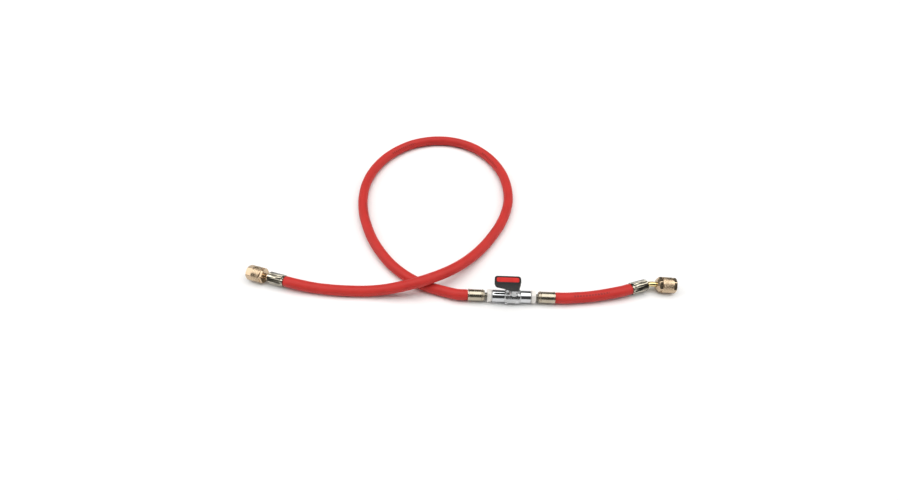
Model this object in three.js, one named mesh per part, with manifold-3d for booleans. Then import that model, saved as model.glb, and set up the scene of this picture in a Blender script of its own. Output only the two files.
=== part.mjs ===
// Charging hose with a small ball valve near one end, as it lies on a level floor.
// Units are millimetres and +Z is up. The origin is at the valve's foot, under its stem's axis.
// +X runs along the valve towards the short hose.
import * as THREE from "three";
import { mergeVertices } from "three/addons/utils/BufferGeometryUtils.js";
import Module from "manifold-3d";

const wasm = await Module();
wasm.setup();

// Gap between pieces that seat, screw or slide on each other
const fit = 0.3;

// How far a cutter runs past the face it leaves, and joined shapes run into each other
const cutPast = 1;
const lap = 2;

// Sides of round faces: outer ones, inner ones, small ones and the knurled nuts
const outsideSides = 24;
const insideSides = 16;
const smallSides = 12;
const nutSides = 32;
const bendSteps = 12;

// Hose
const hoseRadius = 6.25;
const hoseSides = 10;
const crimpSqueeze = 0.85;
const hoseTailLength = 16;
const hoseStep = 15;

// Stem and nipple tails inside the hose
const tailRadius = 2.9;
const toothDepth = 0.5;
const toothCount = 2;
const passageRadius = 1.9;

// Sleeves
const sleeveWall = 0.85;
const sleeveRim = 0.35;
const sleeveRimWidth = 1.4;
const sleeveEndWall = 1.5;
const smoothSleeveLength = 19;
const crimpedSleeveLength = 20.3;
const crimpFlats = 8;
const crimpDepth = 0.55;
const beadHeight = 0.3;
const beadWidth = 1.6;
const beadSetback = 1.6;

// Valve body, its axis along X
const valveAxisHeight = 7.5;
const bodyInletReach = 24.4;
const bodyOutletReach = 19.6;
const inletBarrelRadius = 7.2;
const outletBarrelRadius = 7.2;
const castRadius = 8.3;
const castInletReach = 9.6;
const castOutletReach = 7.4;
const castShoulder = 2;
const castTopHeight = 15.2;
const barrelChamfer = 0.6;

// Small lug cast on the front of the body, near the floor
const lugOffset = 8.4;
const lugHeight = 5.4;
const lugRadius = 1.6;
const lugReach = 9;

// Ball and seats
const ballRadius = 5;
const ballBoreRadius = 2.5;
const ballRoom = 0.4;
const seatBoreRadius = 2.8;
const seatBack = 5.9;
const seatLip = 0.5;
const retainerLength = 5;
const webLength = 4;

// Stem, boss and gland
const bossRadius = 4.3;
const bossTop = 22.4;
const stemRadius = 2.3;
const stemFlangeRadius = 2.7;
const stemFlangeThickness = 1.3;
const tangDepth = 2.2;
const tangThickness = 2;
const tangWidth = 4.6;
const glandRadius = 3;
const bossLedge = 0.8;
const packingHeight = 2.4;
const packingNutTop = 22.9;
const driveSquare = 3.4;
const driveTop = 31.5;

// Lever and its insert
const leverBottom = 23.3;
const leverTop = 38;
const leverArmReach = 23;
const leverHeelReach = 6;
const leverWidth = 10.5;
const leverCorner = 3.3;
const leverTipDepth = 6;
const hubArmReach = 6.2;
const hubHeelInset = 0.5;
const armRootReach = 10.2;
const armRootDepth = 10.8;
const armRootDrop = 2.2;
const insertMargin = 1.15;
const insertThickness = 1;
const insertCorner = 2.1;
const screwHeadRadius = 2.5;
const screwHeadHeight = 1.8;
const screwRadius = 0.9;
const screwLength = 7;

// Hex hose nipples at the valve
const nippleHex = 14;
const nippleHexWidth = 5;
const nippleNeckRadius = 3.3;
const nippleNeckLength = 2.8;
const nippleThreadRadius = 5.1;
const nippleThreadLength = 8;

// Swivel nuts, for a 7/16 inch male flare thread
const nutRadius = 9.15;
const nutBoreRadius = 5.25;
const nutBackWall = 3.2;
const nutChamfer = 0.8;
const nutMouthChamfer = 0.7;
const leftNutLength = 20.4;
const leftNutFrontFlats = 7;
const leftNutBackFlats = 2.8;
const leftNutAcross = 15.8;
const rightNutLength = 21.4;
const rightNutFrontFlats = 3.4;
const rightNutBackFlats = 3;
const rightNutAcross = 16;
const rightNutBackCone = 2.6;
const swivelRoom = 0.4;

// Stems in the swivel nuts
const stemNeckRadius = 3;
const shoulderLength = 3;
const flareReach = 1.2;
const gasketThickness = 2.2;
const gasketBoreRadius = 2.6;
const collarRadius = 4.3;
const collarWidth = 1.5;
const coneLength = 2.3;
const leftNeckLength = 5.8;
const bendAngle = THREE.MathUtils.degToRad(22.5);
const bendRadius = 14;
const bendLeadIn = 1.8;
const bendLeadOut = 4.4;
const depressorRadius = 0.9;
const depressorReach = 4.4;
const depressorFlange = 1;

// How the hose lies: [x, y, height above a hose that rests on the floor], chosen by hand.
// The long hose runs from the valve round the loop and over itself to the left end.
const longHosePoints = [
  [-78, 4.2, 0.2],
  [-97, 10, 0],
  [-114, 18, 0],
  [-131, 29.5, 0],
  [-146, 43.5, 0],
  [-159.5, 60.5, 0],
  [-172, 80.5, 0],
  [-182.5, 103.5, 0],
  [-191, 129, 0],
  [-195.5, 156.5, 0],
  [-195.3, 184.5, 0],
  [-188.7, 213, 0],
  [-176, 239, 0],
  [-158.8, 259.5, 0],
  [-139, 274, 0],
  [-117, 282.3, 0],
  [-94.5, 284.5, 0],
  [-72.5, 280.7, 0],
  [-51.5, 270.8, 0],
  [-33.3, 255.5, 0],
  [-18.5, 235.5, 0],
  [-7.5, 211.5, 0],
  [-1.8, 185.5, 0],
  [-0.8, 160, 0],
  [-4.7, 136.8, 0],
  [-11.8, 115, 0],
  [-21.4, 95.4, 0],
  [-32, 77.4, 0.3],
  [-43.6, 60.6, 2],
  [-55.5, 45.6, 5],
  [-68.5, 31.6, 8.8],
  [-82.5, 20, 12],
  [-98, 10.9, 13.2],
  [-114, 5, 12],
  [-131, 2.4, 7.9],
  [-148.5, 1.6, 3.2],
  [-168, 1, 0.4],
  [-190, 0.6, 0.1],
  [-211, 1.4, 0.1],
  [-230, 3.2, 0.4],
];
const leftEnd = { x: -264, y: 9.2, turn: THREE.MathUtils.degToRad(165.5) };
const shortHosePoints = [
  [70, 1.4, 0.9],
  [85, 3.2, 1],
  [101, 6.1, 1.5],
];
const rightEnd = { x: 134.4, y: 15, turn: THREE.MathUtils.degToRad(19.5) };
const straightEnd = 11;

// Sizes that follow from those above
const hoseTailRadius = hoseRadius - crimpSqueeze;
const hoseBoreRadius = tailRadius + fit;
const sleeveBoreRadius = hoseTailRadius + fit;
const sleeveRadius = sleeveBoreRadius + sleeveWall;
const chamberRadius = ballRadius + ballRoom;
const portRadius = nippleThreadRadius + fit;
const nutAxisHeight = nutRadius;
const ballTop = valveAxisHeight + ballRadius;
const flangeBottom = ballTop + fit;
const flangeTop = flangeBottom + stemFlangeThickness;
const ledgeBottom = flangeTop + fit;
const ledgeTop = ledgeBottom + bossLedge;
const packingBottom = ledgeTop + fit;
const packingTop = packingBottom + packingHeight;
const inletNippleEnd = -(bodyInletReach + fit + nippleHexWidth + nippleNeckLength);
const outletNippleEnd = bodyOutletReach + fit + nippleHexWidth + nippleNeckLength;
const inletMouth = inletNippleEnd - smoothSleeveLength;
const outletMouth = outletNippleEnd + smoothSleeveLength;

// Geometry to solid and back
function solid(geometry) {
  const bare = new THREE.BufferGeometry();
  bare.setAttribute("position", geometry.getAttribute("position"));
  if (geometry.index) bare.setIndex(geometry.index);
  const merged = mergeVertices(bare, 1e-4);
  const corners = merged.index.array;
  const kept = [];
  for (let i = 0; i < corners.length; i += 3) {
    const [a, b, c] = corners.slice(i, i + 3);
    if (a !== b && b !== c && c !== a) kept.push(a, b, c);
  }
  return new wasm.Manifold(
    new wasm.Mesh({
      numProp: 3,
      vertProperties: merged.attributes.position.array,
      triVerts: new Uint32Array(kept),
    }),
  );
}

function geometryOf(shape) {
  const mesh = shape.getMesh();
  const geometry = new THREE.BufferGeometry();
  const positions = new Float32Array(mesh.vertProperties);
  geometry.setAttribute("position", new THREE.BufferAttribute(positions, 3));
  geometry.setIndex(new THREE.BufferAttribute(new Uint32Array(mesh.triVerts), 1));
  return geometry;
}

// Turned about X: the outline holds [x, radius] pairs, the outside first and left to right.
// One that starts on the axis ends on it, and any other closes on itself.
function turned(outline, sides = outsideSides, firstSide = 0) {
  const points = outline.map(([x, radius]) => new THREE.Vector2(radius, x));
  if (outline[0][1] > 0) points.push(points[0].clone());
  const geometry = new THREE.LatheGeometry(points, sides, firstSide, 2 * Math.PI);
  return solid(geometry.rotateZ(-Math.PI / 2));
}

// Turned about Z, with [z, radius] pairs
function upright(outline, sides = outsideSides) {
  const points = outline.map(([z, radius]) => new THREE.Vector2(radius, z));
  if (outline[0][1] > 0) points.push(points[0].clone());
  return solid(new THREE.LatheGeometry(points, sides).rotateX(Math.PI / 2));
}

function rod(from, to, radius, sides) {
  return turned([[from, 0], [from, radius], [to, radius], [to, 0]], sides);
}

function post(from, to, radius, sides) {
  return upright([[from, 0], [from, radius], [to, radius], [to, 0]], sides);
}

function ring(from, to, radius, bore, sides) {
  return turned([[from, radius], [to, radius], [to, bore], [from, bore]], sides);
}

// A prism along X with its flats this far across, turned by an angle from a corner on top
function prism(from, to, across, sides, cornerTurn) {
  const cornerRadius = across / 2 / Math.cos(Math.PI / sides);
  const outline = [[from, 0], [from, cornerRadius], [to, cornerRadius], [to, 0]];
  return turned(outline, sides, cornerTurn);
}

function block(x, y, z) {
  const geometry = new THREE.BoxGeometry(x[1] - x[0], y[1] - y[0], z[1] - z[0]);
  geometry.translate((x[0] + x[1]) / 2, (y[0] + y[1]) / 2, (z[0] + z[1]) / 2);
  return solid(geometry);
}

// A flat plate with round corners, between two heights
function roundedPlate(x, y, z, corner) {
  const shape = new THREE.Shape();
  shape.moveTo(x[0] + corner, y[0]);
  shape.lineTo(x[1] - corner, y[0]);
  shape.absarc(x[1] - corner, y[0] + corner, corner, -Math.PI / 2, 0);
  shape.lineTo(x[1], y[1] - corner);
  shape.absarc(x[1] - corner, y[1] - corner, corner, 0, Math.PI / 2);
  shape.lineTo(x[0] + corner, y[1]);
  shape.absarc(x[0] + corner, y[1] - corner, corner, Math.PI / 2, Math.PI);
  shape.lineTo(x[0], y[0] + corner);
  shape.absarc(x[0] + corner, y[0] + corner, corner, Math.PI, 1.5 * Math.PI);
  const options = { depth: z[1] - z[0], bevelEnabled: false, curveSegments: 6 };
  return solid(new THREE.ExtrudeGeometry(shape, options).translate(0, 0, z[0]));
}

function circle(radius, sides) {
  const corners = [];
  for (let i = 0; i < sides; i++) {
    const angle = (2 * Math.PI * i) / sides;
    corners.push(new THREE.Vector2(radius * Math.cos(angle), radius * Math.sin(angle)));
  }
  return new THREE.Shape(corners);
}

function swept(curve, radius, sides, steps) {
  const options = { steps, bevelEnabled: false, extrudePath: curve };
  return solid(new THREE.ExtrudeGeometry(circle(radius, sides), options));
}

// Materials
const finishes = {
  rubber: { color: 0xc8322c, roughness: 0.5, metalness: 0 },
  seal: { color: 0x1c1c1c, roughness: 0.7, metalness: 0 },
  seat: { color: 0xeeebe4, roughness: 0.5, metalness: 0 },
  nickel: { color: 0x9a958a, roughness: 0.3, metalness: 1 },
  paleNickel: { color: 0xd8cfb8, roughness: 0.28, metalness: 1 },
  warmNickel: { color: 0xd2b994, roughness: 0.35, metalness: 1 },
  brass: { color: 0xd9b45a, roughness: 0.25, metalness: 1 },
  chrome: { color: 0xd6d8da, roughness: 0.12, metalness: 1 },
  steel: { color: 0xb9bbbd, roughness: 0.3, metalness: 1 },
  lever: { color: 0x2c2c2e, roughness: 0.5, metalness: 0 },
  insert: { color: 0xd82b2b, roughness: 0.35, metalness: 0 },
};

const hoseAssembly = new THREE.Group();

function addPiece(name, shape, finish, place = hoseAssembly) {
  const material = new THREE.MeshStandardMaterial(finishes[finish]);
  const mesh = new THREE.Mesh(geometryOf(shape), material);
  mesh.name = name;
  place.add(mesh);
}

// Outline of a hose tail with teeth, from its tip to where it leaves the sleeve
function toothedTail(tip, root) {
  const pitch = (root - tip) / (toothCount + 1);
  const outline = [];
  for (let i = 0; i < toothCount; i++) {
    outline.push([tip + i * pitch, tailRadius - toothDepth]);
    outline.push([tip + (i + 0.8) * pitch, tailRadius]);
  }
  outline.push([tip + toothCount * pitch, tailRadius - toothDepth]);
  return outline;
}

// Sleeves: x runs from the mouth, where the hose goes in, to the closed end
function smoothSleeve() {
  const end = smoothSleeveLength;
  const bead = sleeveRadius + beadHeight;
  const rim = sleeveRadius + sleeveRim;
  return turned([
    [0, rim],
    [sleeveRimWidth, rim],
    [sleeveRimWidth + 0.5, sleeveRadius],
    [end - beadSetback - beadWidth, sleeveRadius],
    [end - beadSetback - beadWidth * 0.7, bead],
    [end - beadSetback - beadWidth * 0.3, bead],
    [end - beadSetback, sleeveRadius],
    [end - 0.5, sleeveRadius],
    [end, sleeveRadius - 0.6],
    [end, nippleNeckRadius + fit],
    [end - sleeveEndWall, nippleNeckRadius + fit],
    [end - sleeveEndWall, sleeveBoreRadius],
    [0, sleeveBoreRadius],
  ]);
}

function crimpedSleeve() {
  const end = crimpedSleeveLength;
  const rim = sleeveRadius + sleeveRim;
  const pressedAcross = 2 * (sleeveRadius + sleeveRim - crimpDepth);
  const pressed = prism(sleeveRimWidth + 1, end + cutPast, pressedAcross, crimpFlats, 0);
  const rimPart = rod(-cutPast, sleeveRimWidth + 1, rim + 1, crimpFlats);
  const outside = turned([
    [0, 0],
    [0, rim],
    [sleeveRimWidth, rim],
    [sleeveRimWidth + 0.5, sleeveRadius + sleeveRim / 2],
    [end - 0.7, sleeveRadius + sleeveRim / 2],
    [end, sleeveRadius - 0.5],
    [end, 0],
  ], outsideSides);
  return outside
    .intersect(pressed.add(rimPart))
    .subtract(rod(-cutPast, end - sleeveEndWall, sleeveBoreRadius, insideSides))
    .subtract(rod(0, end + cutPast, stemNeckRadius + fit, insideSides));
}

// Hose with its two squeezed tails, each bored for the tail inside it
function hoseSolid(points, startDirection, endDirection) {
  const curve = new THREE.CatmullRomCurve3(points);
  curve.arcLengthDivisions = 800;
  const steps = Math.round(curve.getLength() / hoseStep);
  let shape = swept(curve, hoseRadius, hoseSides, steps);
  const ends = [[points[0], startDirection], [points[points.length - 1], endDirection]];
  for (const [at, direction] of ends) {
    const turn = new THREE.Quaternion().setFromUnitVectors(new THREE.Vector3(1, 0, 0), direction);
    const place = new THREE.Matrix4().compose(at, turn, new THREE.Vector3(1, 1, 1));
    const placed = (piece) => solid(geometryOf(piece).applyMatrix4(place));
    shape = shape
      .add(placed(rod(-lap, hoseTailLength, hoseTailRadius, insideSides)))
      .subtract(placed(rod(fit, hoseTailLength + cutPast, hoseBoreRadius, smallSides)));
  }
  return shape;
}

function lying([x, y, rise]) {
  return new THREE.Vector3(x, y, hoseRadius + rise);
}

// The long hose leaves the valve's inlet along -X and ends in the left sleeve.
function longHose() {
  const start = new THREE.Vector3(inletMouth - fit, 0, valveAxisHeight);
  const startDirection = new THREE.Vector3(1, 0, 0);
  const endDirection = new THREE.Vector3(Math.cos(leftEnd.turn), Math.sin(leftEnd.turn), 0);
  const end = new THREE.Vector3(leftEnd.x, leftEnd.y, nutAxisHeight).addScaledVector(endDirection, -fit);
  const points = [
    start,
    start.clone().addScaledVector(startDirection, -straightEnd),
    ...longHosePoints.map(lying),
    end.clone().addScaledVector(endDirection, -straightEnd),
    end,
  ];
  return hoseSolid(points, startDirection, endDirection);
}

// The short hose runs from the valve's outlet to the right sleeve.
function shortHose() {
  const start = new THREE.Vector3(outletMouth + fit, 0, valveAxisHeight);
  const startDirection = new THREE.Vector3(-1, 0, 0);
  const endDirection = new THREE.Vector3(Math.cos(rightEnd.turn), Math.sin(rightEnd.turn), 0);
  const end = new THREE.Vector3(rightEnd.x, rightEnd.y, nutAxisHeight).addScaledVector(endDirection, -fit);
  const points = [
    start,
    start.clone().addScaledVector(startDirection, -straightEnd),
    ...shortHosePoints.map(lying),
    end.clone().addScaledVector(endDirection, -straightEnd),
    end,
  ];
  return hoseSolid(points, startDirection, endDirection);
}

// Valve body: two turned barrels and the cast middle with its stem boss, bored through
function valveBody() {
  const inletBarrel = turned([
    [-bodyInletReach, 0],
    [-bodyInletReach, inletBarrelRadius - barrelChamfer],
    [-bodyInletReach + barrelChamfer, inletBarrelRadius],
    [0, inletBarrelRadius],
    [0, 0],
  ], outsideSides);
  const outletBarrel = turned([
    [0, 0],
    [0, outletBarrelRadius],
    [bodyOutletReach - barrelChamfer, outletBarrelRadius],
    [bodyOutletReach, outletBarrelRadius - barrelChamfer],
    [bodyOutletReach, 0],
  ], outsideSides);
  const cast = turned([
    [-castInletReach - castShoulder, 0],
    [-castInletReach - castShoulder, inletBarrelRadius - 0.5],
    [-castInletReach, castRadius],
    [castOutletReach, castRadius],
    [castOutletReach + castShoulder, outletBarrelRadius - 0.5],
    [castOutletReach + castShoulder, 0],
  ], outsideSides);
  const floorToTop = block(
    [-bodyInletReach, bodyOutletReach],
    [-castRadius - cutPast, castRadius + cutPast],
    [-valveAxisHeight, castTopHeight - valveAxisHeight],
  );
  const lug = rod(castRadius / 2, lugReach, lugRadius, smallSides)
    .rotate([0, 0, -90])
    .translate([-lugOffset, 0, lugHeight]);
  const inletBore = rod(-bodyInletReach - cutPast, seatBack + fit, Math.max(chamberRadius, portRadius), outsideSides);
  const web = rod(0, bodyOutletReach, seatBoreRadius, insideSides);
  const outletPort = rod(seatBack + fit + webLength, bodyOutletReach + cutPast, portRadius, outsideSides);
  return inletBarrel
    .add(outletBarrel)
    .add(cast.intersect(floorToTop))
    .translate([0, 0, valveAxisHeight])
    .add(post(valveAxisHeight, bossTop, bossRadius, outsideSides))
    .add(lug)
    .subtract(inletBore.add(web).add(outletPort).translate([0, 0, valveAxisHeight]))
    .subtract(post(valveAxisHeight, ledgeBottom, stemFlangeRadius + fit))
    .subtract(post(valveAxisHeight, bossTop + cutPast, stemRadius + fit))
    .subtract(post(ledgeTop, bossTop + cutPast, glandRadius + fit));
}

// Seat ring on the outlet side: a hollow face that keeps its gap from the ball
function seatRing() {
  const reach = ballRadius + fit;
  const outer = chamberRadius - fit;
  const faceRadius = outer - seatLip;
  const onSphere = (radius) => [Math.sqrt(reach ** 2 - radius ** 2), radius];
  const face = [0, 0.25, 0.5, 0.75, 1].map((t) => {
    return onSphere(faceRadius + (seatBoreRadius - faceRadius) * t);
  });
  const lip = face[0][0];
  return turned([[lip, outer], [seatBack, outer], [seatBack, seatBoreRadius], ...face.reverse()], insideSides);
}

function ballSolid() {
  const slot = block(
    [-ballRadius - cutPast, ballRadius + cutPast],
    [-tangThickness / 2 - fit, tangThickness / 2 + fit],
    [ballRadius - tangDepth - fit, ballRadius + cutPast],
  );
  return solid(new THREE.SphereGeometry(ballRadius, insideSides, smallSides))
    .subtract(rod(-ballRadius - cutPast, ballRadius + cutPast, ballBoreRadius, smallSides))
    .subtract(slot)
    .translate([0, 0, valveAxisHeight]);
}

function valveStem() {
  const tang = block(
    [-tangWidth / 2, tangWidth / 2],
    [-tangThickness / 2, tangThickness / 2],
    [ballTop - tangDepth, flangeBottom + 0.5],
  );
  const turnedPart = upright([
    [flangeBottom, 0],
    [flangeBottom, stemFlangeRadius],
    [flangeTop, stemFlangeRadius],
    [flangeTop, stemRadius],
    [leverBottom, stemRadius],
    [leverBottom, 0],
  ], insideSides);
  const half = driveSquare / 2;
  const drive = block([-half, half], [-half, half], [leverBottom - lap, driveTop]);
  return turnedPart
    .add(tang)
    .add(drive)
    .subtract(post(driveTop - screwLength, driveTop + cutPast, screwRadius + fit, smallSides));
}

function insertFloor() {
  return leverTop - insertThickness - fit;
}

function screwHeadBottom() {
  return insertFloor() - fit - screwHeadHeight;
}

// Lever: its side view extruded across, cut to the round-cornered plan
function leverSolid() {
  const side = new THREE.Shape();
  side.moveTo(-hubArmReach, leverBottom);
  side.lineTo(leverHeelReach - hubHeelInset, leverBottom);
  side.lineTo(leverHeelReach, leverTop - leverTipDepth);
  side.lineTo(leverHeelReach, leverTop);
  side.lineTo(-leverArmReach, leverTop);
  side.lineTo(-leverArmReach, leverTop - leverTipDepth);
  side.lineTo(-armRootReach, leverTop - armRootDepth);
  side.lineTo(-(armRootReach + hubArmReach) / 2, leverTop - armRootDepth - armRootDrop);
  const options = { depth: leverWidth, bevelEnabled: false };
  const profile = new THREE.ExtrudeGeometry(side, options);
  profile.rotateX(Math.PI / 2).translate(0, leverWidth / 2, 0);
  const width = [-leverWidth / 2, leverWidth / 2];
  const plan = roundedPlate([-leverArmReach, leverHeelReach], width, [leverBottom, leverTop], leverCorner);
  const inset = insertMargin;
  const recess = roundedPlate(
    [-leverArmReach + inset, leverHeelReach - inset],
    [width[0] + inset, width[1] - inset],
    [insertFloor(), leverTop + cutPast],
    insertCorner + fit,
  );
  const half = driveSquare / 2 + fit;
  return solid(profile)
    .intersect(plan)
    .subtract(recess)
    .subtract(block([-half, half], [-half, half], [leverBottom - cutPast, driveTop + fit]))
    .subtract(post(driveTop, leverTop, screwRadius + fit, smallSides))
    .subtract(post(screwHeadBottom() - fit, leverTop, screwHeadRadius + fit, insideSides));
}

function leverInsert() {
  const inset = insertMargin + fit;
  return roundedPlate(
    [-leverArmReach + inset, leverHeelReach - inset],
    [-leverWidth / 2 + inset, leverWidth / 2 - inset],
    [leverTop - insertThickness, leverTop],
    insertCorner,
  );
}

function leverScrew() {
  const bottom = screwHeadBottom();
  return upright([
    [driveTop - screwLength + fit, 0],
    [driveTop - screwLength + fit, screwRadius],
    [bottom, screwRadius],
    [bottom, screwHeadRadius],
    [bottom + screwHeadHeight, screwHeadRadius],
    [bottom + screwHeadHeight, 0],
  ], smallSides);
}

// Hex hose nipple: x runs from the sleeve's mouth, past its closed end, to the thread's end
function hoseNipple() {
  const tip = fit + 1;
  const neck = smoothSleeveLength - sleeveEndWall - fit;
  const hexStart = smoothSleeveLength + nippleNeckLength;
  const hexEnd = hexStart + nippleHexWidth;
  const threadEnd = hexEnd + fit + nippleThreadLength;
  const turnedPart = turned([
    ...toothedTail(tip, neck),
    [neck, tailRadius - toothDepth],
    [neck, nippleNeckRadius],
    [hexStart + 0.5, nippleNeckRadius],
    [hexStart + 0.5, nippleThreadRadius],
    [threadEnd - 0.6, nippleThreadRadius],
    [threadEnd, nippleThreadRadius - 0.6],
    [threadEnd, passageRadius],
    [tip, passageRadius],
  ], insideSides);
  const cornerRadius = nippleHex / 2 / Math.cos(Math.PI / 6);
  const chamfered = turned([
    [hexStart, 0],
    [hexStart, nippleHex / 2 - 0.1],
    [hexStart + 0.7, cornerRadius],
    [hexEnd - 0.4, cornerRadius],
    [hexEnd, nippleHex / 2],
    [hexEnd, 0],
  ], outsideSides);
  const hex = prism(hexStart, hexEnd, nippleHex, 6, THREE.MathUtils.degToRad(30));
  return turnedPart
    .add(hex.intersect(chamfered))
    .subtract(rod(tip - cutPast, threadEnd + cutPast, passageRadius, smallSides));
}

// Swivel nut: x runs from its back face to its open mouth. Hex flats are cut into both ends.
function swivelNut({ length, frontFlats, backFlats, across, backCone, cornerTurn }) {
  const outside = turned([
    [0, 0],
    [0, nutRadius - nutChamfer - backCone],
    [backCone * 0.8 + 0.2, nutRadius - nutChamfer],
    [backCone * 0.8 + 0.2 + nutChamfer, nutRadius],
    [length - nutChamfer, nutRadius],
    [length, nutRadius - nutChamfer],
    [length, 0],
  ], nutSides);
  const flatCut = (from, to) => {
    const hex = prism(from - cutPast, to + cutPast, across, 6, cornerTurn);
    return rod(from, to, nutRadius + lap, smallSides).subtract(hex);
  };
  const neckHole = stemNeckRadius + swivelRoom;
  const inside = turned([
    [-cutPast, 0],
    [-cutPast, neckHole],
    [nutBackWall, neckHole],
    [nutBackWall, nutBoreRadius],
    [length - nutMouthChamfer, nutBoreRadius],
    [length + 0.1, nutBoreRadius + nutMouthChamfer + 0.1],
    [length + 0.1, 0],
  ], outsideSides);
  return outside
    .subtract(flatCut(-cutPast, backFlats))
    .subtract(flatCut(length - frontFlats, length + cutPast))
    .subtract(inside);
}

// Swivel shoulder that the nut pulls on: x is the nut's own, from its back face
function swivelShoulder() {
  const start = nutBackWall + fit;
  const shoulderRadius = nutBoreRadius - swivelRoom;
  return turned([
    [start, 0],
    [start, shoulderRadius],
    [start + shoulderLength - flareReach, shoulderRadius],
    [start + shoulderLength, shoulderRadius - flareReach],
    [start + shoulderLength, 0],
  ], insideSides);
}

function gasketStart() {
  return nutBackWall + fit + shoulderLength + fit;
}

function gasket() {
  const start = gasketStart();
  return ring(start, start + gasketThickness, nutBoreRadius - swivelRoom, gasketBoreRadius, insideSides);
}

// Core depressor: a pin on a flange that sits in the stem's passage behind the gasket's bore
function coreDepressor() {
  const start = gasketStart();
  const flangeRadius = gasketBoreRadius - fit;
  return turned([
    [start, 0],
    [start, flangeRadius],
    [start + depressorFlange, flangeRadius],
    [start + depressorFlange, depressorRadius],
    [start + gasketThickness + depressorReach - 0.4, depressorRadius],
    [start + gasketThickness + depressorReach, depressorRadius - 0.4],
    [start + gasketThickness + depressorReach, 0],
  ], smallSides);
}

// Straight stem of the left end: x runs from the sleeve's mouth
function straightStem() {
  const tip = fit + 1;
  const neck = crimpedSleeveLength - sleeveEndWall - fit;
  const collar = crimpedSleeveLength + fit;
  const nutBack = crimpedSleeveLength + leftNeckLength;
  return turned([
    ...toothedTail(tip, neck),
    [neck, tailRadius - toothDepth],
    [neck, stemNeckRadius],
    [collar, stemNeckRadius],
    [collar, collarRadius],
    [collar + collarWidth, collarRadius],
    [collar + collarWidth + coneLength, stemNeckRadius],
    [nutBack + nutBackWall + lap, stemNeckRadius],
    [nutBack + nutBackWall + lap, passageRadius],
    [tip, passageRadius],
  ], insideSides)
    .add(swivelShoulder().translate([nutBack, 0, 0]))
    .subtract(rod(0, nutBack + leftNutLength, passageRadius, smallSides));
}

// Bent stem of the right end: straight, an arc in plan and straight again
function bentStemPath(leadOut) {
  const path = new THREE.CurvePath();
  const bendStart = new THREE.Vector3(crimpedSleeveLength + bendLeadIn, 0, 0);
  path.add(new THREE.LineCurve3(new THREE.Vector3(crimpedSleeveLength - lap, 0, 0), bendStart));
  const at = (angle) => {
    return new THREE.Vector3(
      bendStart.x + bendRadius * Math.sin(angle),
      -bendRadius * (1 - Math.cos(angle)),
      0,
    );
  };
  const half = at(bendAngle / 2);
  const corner = (from) => {
    const reach = bendRadius * Math.tan(bendAngle / 4);
    return new THREE.Vector3(from.x + reach * Math.cos(0), from.y, 0);
  };
  path.add(new THREE.QuadraticBezierCurve3(bendStart, corner(bendStart), half));
  const bendEnd = at(bendAngle);
  const direction = new THREE.Vector3(Math.cos(bendAngle), -Math.sin(bendAngle), 0);
  const secondCorner = bendEnd.clone().addScaledVector(direction, -bendRadius * Math.tan(bendAngle / 4));
  path.add(new THREE.QuadraticBezierCurve3(half, secondCorner, bendEnd));
  const end = bendEnd.clone().addScaledVector(direction, leadOut);
  path.add(new THREE.LineCurve3(bendEnd, end));
  return { path, bendEnd, direction };
}

function nutPlaceOnBend() {
  const { bendEnd, direction } = bentStemPath(bendLeadOut);
  return bendEnd.clone().addScaledVector(direction, bendLeadOut);
}

function bentStem() {
  const { path } = bentStemPath(bendLeadOut + nutBackWall + lap);
  const { path: passage } = bentStemPath(bendLeadOut + nutBackWall + fit + shoulderLength + cutPast);
  const place = nutPlaceOnBend();
  const tip = fit + 1;
  const neck = crimpedSleeveLength - sleeveEndWall - fit;
  const tail = turned([
    ...toothedTail(tip, neck),
    [neck, tailRadius - toothDepth],
    [neck, stemNeckRadius],
    [crimpedSleeveLength, stemNeckRadius],
    [crimpedSleeveLength, passageRadius],
    [tip, passageRadius],
  ], insideSides);
  const shoulder = swivelShoulder()
    .rotate([0, 0, -THREE.MathUtils.radToDeg(bendAngle)])
    .translate([place.x, place.y, 0]);
  return tail
    .add(swept(path, stemNeckRadius, insideSides, bendSteps))
    .add(shoulder)
    .subtract(swept(passage, passageRadius, smallSides, bendSteps))
    .subtract(rod(0, crimpedSleeveLength, passageRadius, smallSides));
}

// The valve with what it turns
addPiece("valve_body", valveBody(), "chrome");
addPiece("outlet_seat", seatRing().translate([0, 0, valveAxisHeight]), "seat");
addPiece("inlet_seat", seatRing().rotate([0, 0, 180]).translate([0, 0, valveAxisHeight]), "seat");
addPiece("seat_retainer", ring(
  -seatBack - fit - retainerLength,
  -seatBack - fit,
  chamberRadius - fit,
  seatBoreRadius,
  24,
).translate([0, 0, valveAxisHeight]), "brass");
addPiece("ball", ballSolid(), "chrome");
addPiece("valve_stem", valveStem(), "steel");
addPiece("stem_packing", upright([
  [packingBottom, glandRadius],
  [packingTop, glandRadius],
  [packingTop, stemRadius + fit],
  [packingBottom, stemRadius + fit],
], insideSides), "seat");
addPiece("packing_nut", upright([
  [packingTop + fit, glandRadius],
  [packingNutTop, glandRadius],
  [packingNutTop, stemRadius + fit],
  [packingTop + fit, stemRadius + fit],
], insideSides), "brass");
addPiece("lever", leverSolid(), "lever");
addPiece("lever_screw", leverScrew(), "steel");
addPiece("lever_insert", leverInsert(), "insert");

// The two nipples and sleeves at the valve, each in a group that starts at its sleeve's mouth
for (const side of ["inlet", "outlet"]) {
  const place = new THREE.Group();
  place.position.set(side === "inlet" ? inletMouth : outletMouth, 0, valveAxisHeight);
  place.rotation.z = side === "inlet" ? 0 : Math.PI;
  addPiece(side + "_ferrule", smoothSleeve(), "paleNickel", place);
  addPiece(side + "_nipple", hoseNipple(), "paleNickel", place);
  hoseAssembly.add(place);
}

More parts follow.
